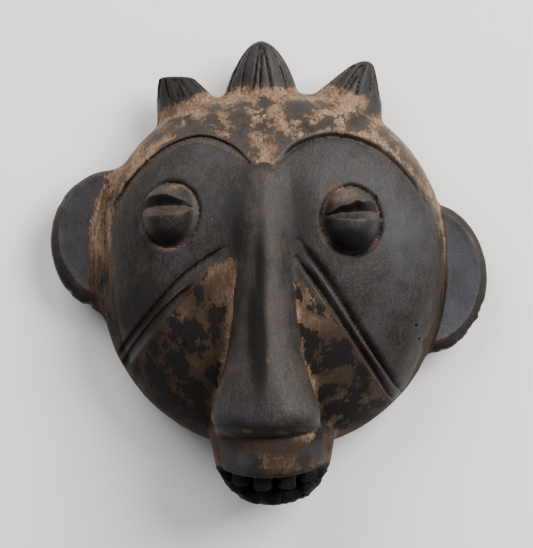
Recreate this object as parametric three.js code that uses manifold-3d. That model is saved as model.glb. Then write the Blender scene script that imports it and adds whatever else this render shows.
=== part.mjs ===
import * as THREE from "three";
import { ParametricGeometry } from "three/addons/geometries/ParametricGeometry.js";
import { mergeVertices } from "three/addons/utils/BufferGeometryUtils.js";
import Module from "manifold-3d";

// A small carved wooden mask that lies on the back rim of its hollow head, face up.
// Millimetres. +Z points out of the face, +Y to the crown, +X to the viewer's right.
// The mask is about 114 mm wide over the ears and 120 mm long from middle tuft to chin.

const wasm = await Module();
wasm.setup();

// Driving dimensions

const head = {
  x: 0.7,
  y: 0.3,
  halfWidth: 45.2,
  halfLength: 46.6,
  planPower: 2.2,
  broaden: 0.035,
  widestAt: 8,
  apex: 35,
  domePower: 2.4,
  rimShare: 0.955,
  wallShare: 0.99,
  wallHeight: 3.5,
};
const wall = 6.5;
const frontWall = 7.5;

// The nose is a ridge along Y: half width, place along Y and height of its crest, root to tip.
const nose = {
  rootX: -1.7,
  tipX: -0.6,
  rootPower: 1.65,
  tipPower: 2.3,
  stations: [
    [2.8, 28, 31.5],
    [4.4, 23, 35.4],
    [6, 12, 38.6],
    [6.9, 0, 40.4],
    [7.7, -11, 42],
    [9.2, -21, 43.6],
    [12.1, -30, 45.2],
    [13.6, -35.4, 46],
    [13.3, -38, 45.7],
    [12, -39.8, 44.3],
    [9.4, -41.2, 42.6],
  ],
  end: -41.9,
  endHeight: 40,
  wingRise: 9.5,
  foot: 12,
};

const muzzle = {
  x: 0.7,
  y: -42,
  z: 20,
  halfWidth: 15.5,
  reach: 18.1,
  backReach: 5,
  rise: 21.2,
  drop: 17,
  power: 2.35,
  flareFrom: -45.5,
  flare: 0.14,
};
// The lip's edge lies on Y, bowed up to the corners of the mouth and tilted a little.
const mouth = {
  lipEdge: -51.7,
  lipBow: 3.3,
  lipTilt: 0.044,
  floor: 28.6,
  coreShare: 0.74,
  halfWidth: 22,
};
// Teeth stand at even angles round the muzzle, in degrees from its middle.
const upperTeeth = { from: -66, to: 69, count: 6, width: 19, behind: 1, below: 3.7, share: 0.955 };
const lowerTeeth = { from: -78, to: 78, count: 9, width: 14, top: 31.2, share: 1 };
const toothRoot = 0.7;

// Each ear has a flat face that is shifted inside its outline, with a bevel falling off round it.
const ears = [
  {
    outline: { x: -41, y: 7.8, halfWidth: 16.1, halfLength: 18.6 },
    face: { x: -40.4, y: 9.6, halfWidth: 14.6, halfLength: 16.1 },
    lean: 5,
  },
  {
    outline: { x: 41.4, y: -1.8, halfWidth: 15.5, halfLength: 19.4 },
    face: { x: 40.6, y: -0.9, halfWidth: 14.3, halfLength: 17.3 },
    lean: -5,
  },
];
const ear = { back: 8.2, front: 13.4, bevel: 2.4, backRound: 1.2, hollow: 0.5 };

// Tufts: a base on the head and a tip beyond it, each with its half width seen from the front.
// The last share of its length, round, closes the tip.
const tufts = [
  { baseX: -21.3, baseHalf: 8.1, tipX: -24.5, tipHalf: 4.3, tipY: 50.7, swell: 1.25, close: 1, round: 0.12 },
  { baseX: -2, baseHalf: 10, tipX: -2.1, tipHalf: 0.5, tipY: 60, swell: 1.35, close: 0.6, round: 0.05 },
  { baseX: 19, baseHalf: 10.3, tipX: 24.9, tipHalf: 2.1, tipY: 54.8, swell: 1.05, close: 0.9, round: 0.16 },
];
const tuft = {
  rootY: 33,
  baseY: 44,
  baseZ: 9.5,
  tipZ: 12,
  baseThick: 7.8,
  tipThick: 2.4,
  flutes: 10,
  fluteDepth: 0.12,
};

// Each eye's slit is a notch from an arris below, in to a fold, and out to the edge of the lid above.
const eyes = [
  {
    x: -25.9,
    y: 14.6,
    halfWidth: 6.9,
    halfLength: 7.7,
    ledge: 2.8,
    ledgeTilt: 0.08,
    fold: 0.9,
    foldEnds: 0.2,
    foldTilt: 0.02,
    lid: 3.6,
    lidEnds: 1.2,
    lidTilt: -0.03,
  },
  {
    x: 20.9,
    y: 13.3,
    halfWidth: 7.1,
    halfLength: 8,
    ledge: 2,
    ledgeTilt: -0.03,
    fold: 0.9,
    foldEnds: 0.4,
    foldTilt: 0.05,
    lid: 2.9,
    lidEnds: 1.3,
    lidTilt: 0.14,
  },
];
const eye = { sink: 2, rise: 5.6, power: 2.3, slitDepth: 2.8 };

// Carved lines on the face, as points in X and Y that a smooth curve goes through.
const browLine = { width: 2, depth: 1.2, lean: 0.5 };
const brows = [
  [[-4.9, 27.2], [-11.2, 31.9], [-18.9, 33.9], [-28.3, 30.2], [-37.3, 21.6], [-42, 12.6]],
  [[1.8, 27.5], [8, 32.6], [17.4, 34.8], [28.1, 31.6], [36.3, 23.8], [40.6, 17.2]],
];
const cheekLine = { width: 2, depth: 1.3, lean: 0.2 };
const cheeks = [
  [[-10.8, 6.4], [-22.7, -2.4], [-33.2, -14], [-39.2, -21.8]],
  [[-19.2, -3.3], [-28, -11.4], [-35.3, -20.2], [-38.2, -24.8]],
  [[7.2, 8.2], [15.4, -2.9], [25.7, -19.1], [34.2, -31]],
  [[6.6, 3.8], [14.1, -6.2], [24.4, -21.6], [32.4, -33.4]],
];

const steps = { headAround: 64, headDome: 12, hollowAround: 44, hollowDome: 8 };

// Helpers

const radians = THREE.MathUtils.degToRad;
const lerp = THREE.MathUtils.lerp;

// The point of a superellipse of half size 1 at an angle in radians.
function squarish(angle, power) {
  const c = Math.cos(angle);
  const s = Math.sin(angle);
  return [
    Math.sign(c) * Math.abs(c) ** (2 / power),
    Math.sign(s) * Math.abs(s) ** (2 / power),
  ];
}

// A closed three.js geometry as a solid, with its shared corners merged and its faces outward.
function solid(geometry) {
  const bare = geometry.clone();
  bare.deleteAttribute("normal");
  bare.deleteAttribute("uv");
  const merged = mergeVertices(bare, 1e-4);
  const index = merged.index.array;
  const corners = [];
  for (let i = 0; i < index.length; i += 3) {
    const [a, b, c] = index.subarray(i, i + 3);
    if (a !== b && b !== c && c !== a) corners.push(a, b, c);
  }
  const make = (triVerts) =>
    new wasm.Manifold(
      new wasm.Mesh({
        numProp: 3,
        vertProperties: merged.attributes.position.array,
        triVerts: new Uint32Array(triVerts),
      }),
    );
  const made = make(corners);
  return made.volume() > 0 ? made : make(corners.reverse());
}

// A solid through a row of sections, each a function of the angle around it. The first and the
// last section are single points.
function loft(sections, around) {
  const last = sections.length - 1;
  const place = (turn, along, target) => {
    const section = sections[Math.round(along * last)];
    target.set(...section(turn * 2 * Math.PI));
  };
  return solid(new ParametricGeometry(place, around, last));
}

// A box of 1 by 1 by 1 whose points are moved by a function of their three shares, -0.5 to 0.5.
function bentBox(place, segments) {
  const box = new THREE.BoxGeometry(1, 1, 1, ...segments);
  const position = box.attributes.position;
  for (let i = 0; i < position.count; i++) {
    position.setXYZ(i, ...place(position.getX(i), position.getY(i), position.getZ(i)));
  }
  return solid(box);
}

// Head

// The head's height over a point of the plan.
function faceHeight(x, y) {
  const up = (y - head.y) / head.halfLength;
  const across = Math.abs((x - head.x) / (head.halfWidth * (1 + head.broaden * up))) ** head.planPower;
  const along = Math.abs(up) ** head.planPower;
  const out = Math.min(0.999, (across + along) ** (1 / head.planPower));
  const share = (1 - out ** head.domePower) ** (1 / head.domePower);
  return head.widestAt + (head.apex - head.widestAt) * share;
}

// The outward direction of the head's surface over a point of the plan.
function faceNormal(x, y) {
  const step = 0.5;
  const slopeX = (faceHeight(x + step, y) - faceHeight(x - step, y)) / (2 * step);
  const slopeY = (faceHeight(x, y + step) - faceHeight(x, y - step)) / (2 * step);
  return new THREE.Vector3(-slopeX, -slopeY, 1).normalize();
}

// A domed form on the head's plan, inset from its outline, from a flat floor up to an apex.
function domed(inset, floor, apex, around, rows) {
  const profile = [
    [0, floor],
    [head.rimShare, floor],
    [head.wallShare, head.wallHeight],
    [1, head.widestAt],
  ];
  for (let i = 1; i <= rows; i++) {
    const climb = (i / rows) * (Math.PI / 2);
    const [share, rise] = squarish(climb, head.domePower);
    profile.push([i === rows ? 0 : share, head.widestAt + (apex - head.widestAt) * rise]);
  }
  const sections = profile.map(([share, z]) => (angle) => {
    const [c, s] = squarish(angle, head.planPower);
    return [
      head.x + (head.halfWidth - inset) * (1 + head.broaden * share * s) * share * c,
      head.y + (head.halfLength - inset) * share * s,
      z,
    ];
  });
  return loft(sections, around);
}

// Nose

function makeNose() {
  const around = 20;
  const rows = 20;
  const course = new THREE.CatmullRomCurve3(nose.stations.map((s) => new THREE.Vector3(...s)));
  const points = course.getPoints(rows);
  const section = ({ x: half, y, z: crest }, row) => {
    const middle = lerp(nose.rootX, nose.tipX, row / rows);
    const power = lerp(nose.rootPower, nose.tipPower, row / rows);
    const face = faceHeight(middle + half, y) - 1;
    const widest = Math.min(crest - 2, Math.max(face, crest - nose.wingRise));
    return (angle) => {
      const [c, s] = squarish(angle, power);
      const height = s > 0 ? (crest - widest) * s : (widest - nose.foot) * s;
      return [middle + half * c, y, widest + height];
    };
  };
  const root = points[0];
  return loft(
    [
      () => [nose.rootX, root.y, root.z - 3],
      ...points.map(section),
      () => [nose.tipX, nose.end, nose.endHeight],
    ],
    around,
  );
}

// Muzzle with the open mouth

// A point of the muzzle, scaled about its middle, at an angle from straight up and a place on Y.
function muzzlePoint(tilt, y, share) {
  const ahead = muzzle.y - y;
  const out = Math.min(1, Math.abs(ahead) / (ahead > 0 ? muzzle.reach : muzzle.backReach));
  const size = (1 - out ** muzzle.power) ** (1 / muzzle.power) * share;
  const flare = muzzle.flare * Math.max(0, y - muzzle.flareFrom) * size;
  const [up, side] = squarish(tilt, muzzle.power);
  return [
    muzzle.x + (muzzle.halfWidth * size + flare) * side,
    muzzle.y - ahead * share,
    muzzle.z + (up > 0 ? muzzle.rise : muzzle.drop) * size * up,
  ];
}

function makeMuzzle(share) {
  const rows = 14;
  const sections = [];
  for (let i = 0; i <= rows; i++) {
    const [along] = squarish((i / rows) * Math.PI, muzzle.power);
    const y = muzzle.y - (along > 0 ? muzzle.reach : muzzle.backReach) * along;
    sections.push((angle) => muzzlePoint(angle, y, share));
  }
  return loft(sections, 32);
}

// Where the upper lip ends on Y, at a place across from the muzzle's middle.
function lipAt(across) {
  return mouth.lipEdge + mouth.lipBow * (across / muzzle.halfWidth) ** 2 + mouth.lipTilt * across;
}

// The space in front of the lip and above the jaw, round the core that the teeth stand on.
function makeMouthCut() {
  const far = -70;
  const high = 50;
  const block = bentBox(
    (u, v, w) => {
      const across = 2 * mouth.halfWidth * u;
      return [
        muzzle.x + across,
        lerp(far, lipAt(across), v + 0.5),
        lerp(mouth.floor, high, w + 0.5),
      ];
    },
    [12, 1, 1],
  );
  return block.subtract(makeMuzzle(mouth.coreShare));
}

function makeUpperTeeth() {
  const teeth = [];
  for (let i = 0; i < upperTeeth.count; i++) {
    const middle = lerp(upperTeeth.from, upperTeeth.to, i / (upperTeeth.count - 1));
    const [x] = muzzlePoint(radians(middle), mouth.lipEdge, 1);
    const edge = lipAt(x - muzzle.x);
    teeth.push(
      bentBox(
        (u, v, w) => {
          const tilt = radians(middle + upperTeeth.width * u);
          const y = lerp(edge + upperTeeth.behind, edge - upperTeeth.below, v + 0.5);
          return muzzlePoint(tilt, y, lerp(toothRoot, upperTeeth.share, w + 0.5));
        },
        [2, 2, 1],
      ),
    );
  }
  return teeth;
}

function makeLowerTeeth() {
  const teeth = [];
  const size = (1 - ((lowerTeeth.top - muzzle.z) / muzzle.rise) ** muzzle.power) ** (1 / muzzle.power);
  const root = mouth.floor - 1.5;
  for (let i = 0; i < lowerTeeth.count; i++) {
    const middle = lerp(lowerTeeth.from, lowerTeeth.to, i / (lowerTeeth.count - 1));
    teeth.push(
      bentBox(
        (u, v, w) => {
          const turn = radians(middle + lowerTeeth.width * u);
          const [out, side] = squarish(turn, muzzle.power);
          const share = lerp(toothRoot, lowerTeeth.share, v + 0.5) * size;
          return [
            muzzle.x + muzzle.halfWidth * share * side,
            muzzle.y - muzzle.reach * share * out,
            lerp(root, lowerTeeth.top, w + 0.5),
          ];
        },
        [1, 1, 1],
      ),
    );
  }
  return teeth;
}

// Ears

function makeEar({ outline, face, lean }) {
  // share of the size, height, and 0 on the outline to 1 on the face
  const profile = [
    [0, ear.back, 0],
    [0.93, ear.back, 0],
    [1, ear.back + ear.backRound, 0],
    [1, ear.front - ear.bevel, 0],
    [1, ear.front, 1],
    [0.9, ear.front - 0.6 * ear.hollow, 1],
    [0, ear.front - ear.hollow, 1],
  ];
  const slope = Math.tan(radians(lean));
  const sections = profile.map(([share, z, onFace]) => (angle) => {
    const middle = lerp(outline.x, face.x, onFace);
    const x = middle + lerp(outline.halfWidth, face.halfWidth, onFace) * share * Math.cos(angle);
    const y =
      lerp(outline.y, face.y, onFace) +
      lerp(outline.halfLength, face.halfLength, onFace) * share * Math.sin(angle);
    return [x, y, z + slope * (x - outline.x)];
  });
  return loft(sections, 40);
}

// Tufts

function makeTuft({ baseX, baseHalf, tipX, tipHalf, tipY, swell, close, round }) {
  const rows = 8;
  const section = (t) => {
    const shrink = (1 - t ** swell) ** close;
    const end = Math.max(0, (t - 1 + round) / round);
    const closing = Math.sqrt(Math.max(0, 1 - end ** 2.2));
    return {
      middle: lerp(baseX, tipX, t),
      half: lerp(tipHalf, baseHalf, shrink) * lerp(0.25, 1, closing),
      thick: lerp(tuft.tipThick, tuft.baseThick, shrink) * lerp(0.2, 1, closing),
      y: lerp(tuft.baseY, tipY, t),
      z: lerp(tuft.baseZ, tuft.tipZ, t),
    };
  };
  const ring = ({ middle, half, thick, y, z }) => (angle) => {
    const comb = 1 - tuft.fluteDepth * (1 - Math.abs(Math.cos((tuft.flutes * angle) / 2)));
    return [middle + half * comb * Math.cos(angle), y, z + thick * comb * Math.sin(angle)];
  };
  const base = section(0);
  const sections = [() => [base.middle, tuft.rootY, base.z], ring({ ...base, y: tuft.rootY })];
  for (let i = 0; i < rows; i++) {
    // rows lie closer together to the tip
    sections.push(ring(section(1 - (1 - (0.98 * i) / (rows - 1)) ** 1.6)));
  }
  sections.push(() => [tipX, tipY, tuft.tipZ]);
  return loft(sections, tuft.flutes * 3);
}

// Eyes

// Moves a point of a form that is centred on the origin to a place on the face, tilted with it.
function layOnFace({ x, y }, lift) {
  const normal = faceNormal(x, y);
  const turn = new THREE.Quaternion().setFromUnitVectors(new THREE.Vector3(0, 0, 1), normal);
  const place = new THREE.Vector3(x, y, faceHeight(x, y)).addScaledVector(normal, lift);
  return (point) => new THREE.Vector3(...point).applyQuaternion(turn).add(place).toArray();
}

function makeEye(place) {
  const lay = layOnFace(place, -eye.sink);
  const tall = eye.sink + eye.rise;
  const rows = 12;
  const sections = [];
  for (let i = 0; i <= rows; i++) {
    const [share, up] = squarish((i / rows - 0.5) * Math.PI, eye.power);
    sections.push((angle) =>
      lay([
        place.halfWidth * share * Math.cos(angle),
        place.halfLength * share * Math.sin(angle),
        tall * up,
      ]),
    );
  }
  return loft(sections, 26);
}

function makeSlit(place) {
  const lay = layOnFace(place, -eye.sink);
  const tall = eye.sink + eye.rise;
  const level = (across, y) => {
    const out = Math.min(0.995, Math.hypot(across, y / place.halfLength));
    return tall * (1 - out ** eye.power) ** (1 / eye.power);
  };
  const count = 12;
  const reach = 0.95;
  const past = 2.2; // how far the notch goes on past the ball's surface
  const rise = 0.5; // how far it climbs at least from the fold to either edge
  const sections = [];
  for (let i = 0; i <= count; i++) {
    const across = lerp(-reach, reach, i / count);
    const arch = 1 - across * across;
    const x = place.halfWidth * across;
    const fold = lerp(place.foldEnds, place.fold, arch ** 0.4) + place.foldTilt * x;
    const arris = fold - place.ledge * arch ** 0.35 + place.ledgeTilt * x;
    const edge = fold + lerp(place.lidEnds, place.lid, arch) + place.lidTilt * x;
    const low = level(across, fold) - eye.slitDepth * lerp(0.45, 1, arch);
    const corner = (y) => [x, lerp(fold, y, past), lerp(low, Math.max(level(across, y), low + rise), past)];
    const ring = [corner(arris), corner(edge), [x, fold, low]];
    const middle = [0, 1, 2].map((k) => (ring[0][k] + ring[1][k] + ring[2][k]) / 3);
    if (i === 0) sections.push(() => lay(middle));
    sections.push((angle) => lay(ring[Math.round((angle / (2 * Math.PI)) * 3) % 3]));
    if (i === count) sections.push(() => lay(middle));
  }
  return loft(sections, 3);
}

// Carved lines

// A cutter of V section that follows a curve over the face and runs out at both ends.
function makeLine(route, { width, depth, lean }) {
  const count = 14;
  const lift = 1.2;
  const course = new THREE.CatmullRomCurve3(route.map(([x, y]) => new THREE.Vector3(x, y, 0)));
  const sections = [];
  for (let i = 0; i <= count; i++) {
    const at = course.getPointAt(i / count);
    const ahead = course.getTangentAt(i / count);
    const up = faceNormal(at.x, at.y);
    const side = new THREE.Vector3().crossVectors(up, ahead).normalize();
    const swell = Math.min(1, 0.25 + 3 * Math.min(i, count - i) / count);
    const spread = (width / 2) * (1 + lift / depth);
    const origin = new THREE.Vector3(at.x, at.y, faceHeight(at.x, at.y));
    const corner = (across, height) =>
      origin.clone().addScaledVector(side, across).addScaledVector(up, height).toArray();
    const ring = [
      corner(spread, lift + depth * (1 - swell)),
      corner(-spread, lift + depth * (1 - swell)),
      corner((lean * width) / 2, -depth * swell),
    ];
    if (i === 0) sections.push(() => corner(0, lift / 2));
    sections.push((angle) => ring[Math.round((angle / (2 * Math.PI)) * 3) % 3]);
    if (i === count) sections.push(() => corner(0, lift / 2));
  }
  return loft(sections, 3);
}

// The mask

function makeMask() {
  const lines = [
    ...brows.map((route, i) => makeLine(route, { ...browLine, lean: (i ? 1 : -1) * browLine.lean })),
    ...cheeks.map((route) => makeLine(route, cheekLine)),
  ];
  const face = domed(0, 0, head.apex, steps.headAround, steps.headDome);
  const carvedFace = lines.reduce((body, line) => body.subtract(line), face);
  const jaw = makeMuzzle(1).subtract(makeMouthCut());
  const parts = [
    jaw,
    makeNose(),
    ...makeUpperTeeth(),
    ...makeLowerTeeth(),
    ...ears.map(makeEar),
    ...tufts.map(makeTuft),
    ...eyes.map((place) => makeEye(place).subtract(makeSlit(place))),
  ];
  const joined = parts.reduce((body, part) => body.add(part), carvedFace);
  const hollow = domed(wall, -2, head.apex - frontWall, steps.hollowAround, steps.hollowDome);
  return joined.subtract(hollow);
}

// A solid as a three.js geometry with flat faces.
function geometryOf(body) {
  const mesh = body.getMesh();
  const geometry = new THREE.BufferGeometry();
  const corners = new Float32Array(mesh.numVert * 3);
  for (let i = 0; i < mesh.numVert; i++) {
    corners.set(mesh.vertProperties.subarray(i * mesh.numProp, i * mesh.numProp + 3), i * 3);
  }
  geometry.setAttribute("position", new THREE.BufferAttribute(corners, 3));
  geometry.setIndex(new THREE.BufferAttribute(mesh.triVerts, 1));
  geometry.computeVertexNormals();
  return geometry;
}

const wood = new THREE.MeshStandardMaterial({ color: 0x3a332e, roughness: 0.55, metalness: 0 });
const mask = new THREE.Mesh(geometryOf(makeMask()), wood);
mask.name = "mask";

const part = new THREE.Group();
part.add(mask);

export default part;
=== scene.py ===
import math
import bpy
import numpy as np
import openvdb
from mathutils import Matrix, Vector


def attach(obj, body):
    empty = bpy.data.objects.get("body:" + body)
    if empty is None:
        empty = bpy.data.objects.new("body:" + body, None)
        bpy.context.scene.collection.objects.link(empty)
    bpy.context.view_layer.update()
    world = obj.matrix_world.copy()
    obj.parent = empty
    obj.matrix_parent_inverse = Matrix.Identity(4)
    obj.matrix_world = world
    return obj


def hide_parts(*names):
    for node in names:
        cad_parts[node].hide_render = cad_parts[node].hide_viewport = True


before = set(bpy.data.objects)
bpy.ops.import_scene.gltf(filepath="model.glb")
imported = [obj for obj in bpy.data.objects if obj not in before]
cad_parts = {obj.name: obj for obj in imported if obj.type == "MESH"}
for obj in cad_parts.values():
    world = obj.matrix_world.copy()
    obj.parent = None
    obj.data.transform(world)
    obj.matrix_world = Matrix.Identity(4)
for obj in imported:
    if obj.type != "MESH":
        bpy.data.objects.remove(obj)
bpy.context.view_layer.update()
print("frame loaded")

# A small carved mask, face up on the back rim of its hollow head. Shapes are in millimetres,
# +Y to the crown and +Z out of the face, and go to metres when the finished mesh is made.
mm = 0.001
voxel = 0.35  # grid step of the block that the forms are joined and carved in
reach = 4.2  # how far off a form its distance is known


# Small helpers


def squarish(angle, power):
    across, along = np.cos(angle), np.sin(angle)
    return np.sign(across) * np.abs(across) ** (2 / power), np.sign(along) * np.abs(along) ** (2 / power)


# How high a rounded form stands, at a share of the way out to its edge.
def roundedOff(out, power):
    return (1 - out ** power) ** (1 / power)


def blend(a, b, share):
    return a + (b - a) * share


def ease(value, low, high):
    share = np.clip((value - low) / (high - low), 0, 1)
    return share * share * (3 - 2 * share)


def circle(count):
    return np.linspace(0, 2 * math.pi, count, endpoint=False)


# Edges from each point to the next.
def chain(count):
    return [(i, i + 1) for i in range(count - 1)]


# A smooth curve through points, a number of steps from one point to the next.
def through(points, steps):
    points = np.array(points, float)
    ends = [2 * points[0] - points[1], *points, 2 * points[-1] - points[-2]]
    made = []
    for a, b, c, d in zip(ends, ends[1:], ends[2:], ends[3:]):
        for t in np.arange(steps) / steps:
            made.append(0.5 * (2 * b + (c - a) * t + (2 * a - 5 * b + 4 * c - d) * t * t
                               + (3 * b - a - 3 * c + d) * t ** 3))
    return np.array(made + [points[-1]])


# A closed skin over a row of rings, drawn in to a point at each end.
def loft(first, rings, last):
    rings = np.array(rings, float)
    rows, around = rings.shape[:2]
    points = np.concatenate([[first], rings.reshape(-1, 3), [last]])
    here = np.arange(around)
    ahead = (here + 1) % around
    faces = [np.stack([0 * here, 1 + ahead, 1 + here], 1)]
    for row in range(rows - 1):
        low, high = 1 + row * around, 1 + (row + 1) * around
        faces.append(np.stack([low + here, low + ahead, high + ahead], 1))
        faces.append(np.stack([low + here, high + ahead, high + here], 1))
    low = 1 + (rows - 1) * around
    faces.append(np.stack([0 * here + len(points) - 1, low + here, low + ahead], 1))
    return points, np.concatenate(faces)

def meshOf(name, points, faces=(), edges=(), vectors=None):
    mesh = bpy.data.meshes.new(name)
    mesh.from_pydata([tuple(p) for p in np.asarray(points, float).tolist()], [tuple(e) for e in edges],
                     [tuple(f) for f in np.asarray(faces).tolist()])
    mesh.update()
    for label, values in (vectors or {}).items():
        mesh.attributes.new(label, "FLOAT_VECTOR", "POINT").data.foreach_set("vector", np.ravel(values))
    return mesh


def addObject(name, data):
    made = bpy.data.objects.new(name, data)
    bpy.context.scene.collection.objects.link(made)
    return made


# The plain mesh of an object with its modifiers applied.
def plainMesh(made):
    bpy.context.view_layer.update()
    return bpy.data.meshes.new_from_object(made.evaluated_get(bpy.context.evaluated_depsgraph_get()))


# The points and triangles of a mesh, as the level sets take them.
def skinOf(mesh):
    mesh.calc_loop_triangles()
    points = np.empty(len(mesh.vertices) * 3, np.float32)
    mesh.vertices.foreach_get("co", points)
    faces = np.empty(len(mesh.loop_triangles) * 3, np.int32)
    mesh.loop_triangles.foreach_get("vertices", faces)
    return points.reshape(-1, 3), faces.reshape(-1, 3)


# Distance fields: a form is the lattice place of its first value and a block of distances to it


def fieldOf(skin):
    points, faces = skin
    grid = openvdb.FloatGrid.createLevelSetFromPolygons(
        np.ascontiguousarray(points, dtype=np.float32),
        triangles=np.ascontiguousarray(faces, dtype=np.uint32),
        transform=openvdb.createLinearTransform(voxel), halfWidth=reach / voxel)
    low = np.floor((points.min(0) - reach) / voxel).astype(int)
    high = np.ceil((points.max(0) + reach) / voxel).astype(int)
    values = np.empty(tuple(high - low + 1), np.float32)
    grid.copyToArray(values, ijk=tuple(int(i) for i in low))
    return low, values


# The parts of two blocks that lie over each other.
def overlap(a, b):
    low = np.maximum(a[0], b[0])
    high = np.minimum(a[0] + a[1].shape, b[0] + b[1].shape)
    cut = [tuple(slice(int(s), int(e)) for s, e in zip(low - block[0], high - block[0])) for block in (a, b)]
    return a[1][cut[0]], b[1][cut[1]]


def softMin(a, b, soft):
    closeness = np.maximum(soft - np.abs(a - b), 0) / soft
    return np.minimum(a, b) - closeness * closeness * soft / 4


def join(block, form, soft):
    under, over = overlap(block, form)
    under[...] = softMin(under, over, soft)


def carve(block, form, soft):
    under, over = overlap(block, form)
    under[...] = -softMin(-under, over, soft)


# Distance to a form at points, by the eight values around each.
def distanceTo(form, points):
    low, values = form
    place = points / voxel - low
    base = np.clip(np.floor(place).astype(int), 0, np.array(values.shape) - 2)
    share = np.clip(place - base, 0, 1)
    found = np.zeros(len(points))
    for corner in np.ndindex(2, 2, 2):
        weight = np.prod(np.where(corner, share, 1 - share), axis=1)
        found += weight * values[tuple((base + corner).T)]
    outside = np.any((place < -1) | (place > values.shape), axis=1)
    return np.where(outside, reach, found)


# Smooth seeded noise from -1 to 1 with lumps of one size.
def lumps(points, size, seed):
    table = np.random.default_rng(seed).uniform(-1, 1, (32, 32, 32))
    place = points / size + 1000
    base = np.floor(place).astype(int)
    share = place - base
    share = share * share * (3 - 2 * share)
    found = np.zeros(len(points))
    for corner in np.ndindex(2, 2, 2):
        weight = np.prod(np.where(corner, share, 1 - share), axis=1)
        found += weight * table[tuple(((base + corner) % 32).T)]
    return found


# Node trees

wood = bpy.data.materials.new("blackPatinatedHardwood")


# Adds one node with its settings. An input is a value, a socket, or a node that gives its first output.
def addNode(tree, kind, settings=None, inputs=None):
    made = tree.nodes.new(kind)
    for name, value in (settings or {}).items():
        setattr(made, name, value)
    for key, value in (inputs or {}).items():
        source = value.outputs[0] if isinstance(value, bpy.types.Node) else value
        if isinstance(source, bpy.types.NodeSocket):
            tree.links.new(source, made.inputs[key])
        else:
            made.inputs[key].default_value = source
    return made


def newTree(name, inputs):
    tree = bpy.data.node_groups.new(name, "GeometryNodeTree")
    for way in ("INPUT", "OUTPUT"):
        tree.interface.new_socket("Geometry", in_out=way, socket_type="NodeSocketGeometry")
    for label, kind in {**inputs, "Material": "Material"}.items():
        tree.interface.new_socket(label, in_out="INPUT", socket_type="NodeSocket" + kind)
    return tree, addNode(tree, "NodeGroupInput").outputs


def endTree(tree, grown, material):
    real = addNode(tree, "GeometryNodeRealizeInstances", {}, {"Geometry": grown})
    dressed = addNode(tree, "GeometryNodeSetMaterial", {}, {"Geometry": real, "Material": material})
    addNode(tree, "NodeGroupOutput", {}, {"Geometry": dressed})
    return tree


# Runs a tree on a start mesh and gives back the skin that it grows. The tree's inputs come from a piece's
# dictionary, where Run Out is named runOut.
def grow(tree, start, piece, **more):
    values = {**piece, **more, "material": wood}
    holder = addObject("holder", start)
    modifier = holder.modifiers.new(tree.name, "NODES")
    modifier.node_group = tree
    for item in tree.interface.items_tree:
        key = item.name[0].lower() + item.name[1:].replace(" ", "")
        if item.in_out == "INPUT" and key in values:
            modifier[item.identifier] = values[key]
    grown = plainMesh(holder)
    bpy.data.objects.remove(holder)
    return skinOf(grown)


# A cutter that follows a guide over a surface: the guide is smoothed, laid on the surface, tilted with it
# and swept by a V section that thins out towards both ends.
def carvedLineTree():
    tree, given = newTree("carvedLine", {"Surface": "Object", "Width": "Float", "Depth": "Float",
                                         "Lift": "Float", "Tilt": "Vector", "Run Out": "Float",
                                         "Steps": "Int"})
    surface = addNode(tree, "GeometryNodeObjectInfo", {}, {"Object": given["Surface"]}).outputs["Geometry"]
    guide = addNode(tree, "GeometryNodeMeshToCurve", {}, {"Mesh": given["Geometry"]})
    smooth = addNode(tree, "GeometryNodeCurveSplineType", {"spline_type": "CATMULL_ROM"}, {"Curve": guide})
    even = addNode(tree, "GeometryNodeResampleCurve", {"mode": "COUNT"},
                   {"Curve": smooth, "Count": given["Steps"]})
    nearest = addNode(tree, "GeometryNodeProximity", {"target_element": "FACES"}, {"Geometry": surface})
    laid = addNode(tree, "GeometryNodeSetPosition", {},
                   {"Geometry": even, "Position": nearest.outputs["Position"]})
    normal = addNode(tree, "GeometryNodeInputNormal")
    facing = addNode(tree, "GeometryNodeSampleNearestSurface", {"data_type": "FLOAT_VECTOR"},
                     {"Mesh": surface, "Value": normal.outputs["Normal"]})
    tilted = addNode(tree, "ShaderNodeVectorMath", {"operation": "ADD"}, {0: facing, 1: given["Tilt"]})
    turned = addNode(tree, "GeometryNodeSetCurveNormal", {"mode": "FREE"}, {"Curve": laid, "Normal": tilted})
    # full size from the run out share on, and a fifth of it at the ends
    share = addNode(tree, "GeometryNodeSplineParameter").outputs["Factor"]
    left = addNode(tree, "ShaderNodeMath", {"operation": "SUBTRACT"}, {0: 1.0, 1: share})
    end = addNode(tree, "ShaderNodeMath", {"operation": "MINIMUM"}, {0: share, 1: left})
    size = addNode(tree, "ShaderNodeMapRange", {"interpolation_type": "SMOOTHSTEP"},
                   {"Value": end, "From Max": given["Run Out"], "To Min": 0.2})
    deep, wide = (addNode(tree, "ShaderNodeMath", {"operation": "MULTIPLY"}, {0: given[name], 1: -1.0})
                  for name in ("Depth", "Width"))
    point = 0.12  # half width of the bottom of the V
    corners = [addNode(tree, "ShaderNodeCombineXYZ", {}, {"X": x, "Y": y})
               for x, y in ((given["Width"], given["Lift"]), (point, deep),
                            (-point, deep), (wide, given["Lift"]))]
    section = addNode(tree, "GeometryNodeCurvePrimitiveQuadrilateral", {"mode": "POINTS"},
                      {7 + i: corner for i, corner in enumerate(corners)})
    swept = addNode(tree, "GeometryNodeCurveToMesh", {},
                    {"Curve": turned, "Profile Curve": section, "Scale": size, "Fill Caps": True})
    return endTree(tree, swept, given["Material"])


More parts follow.
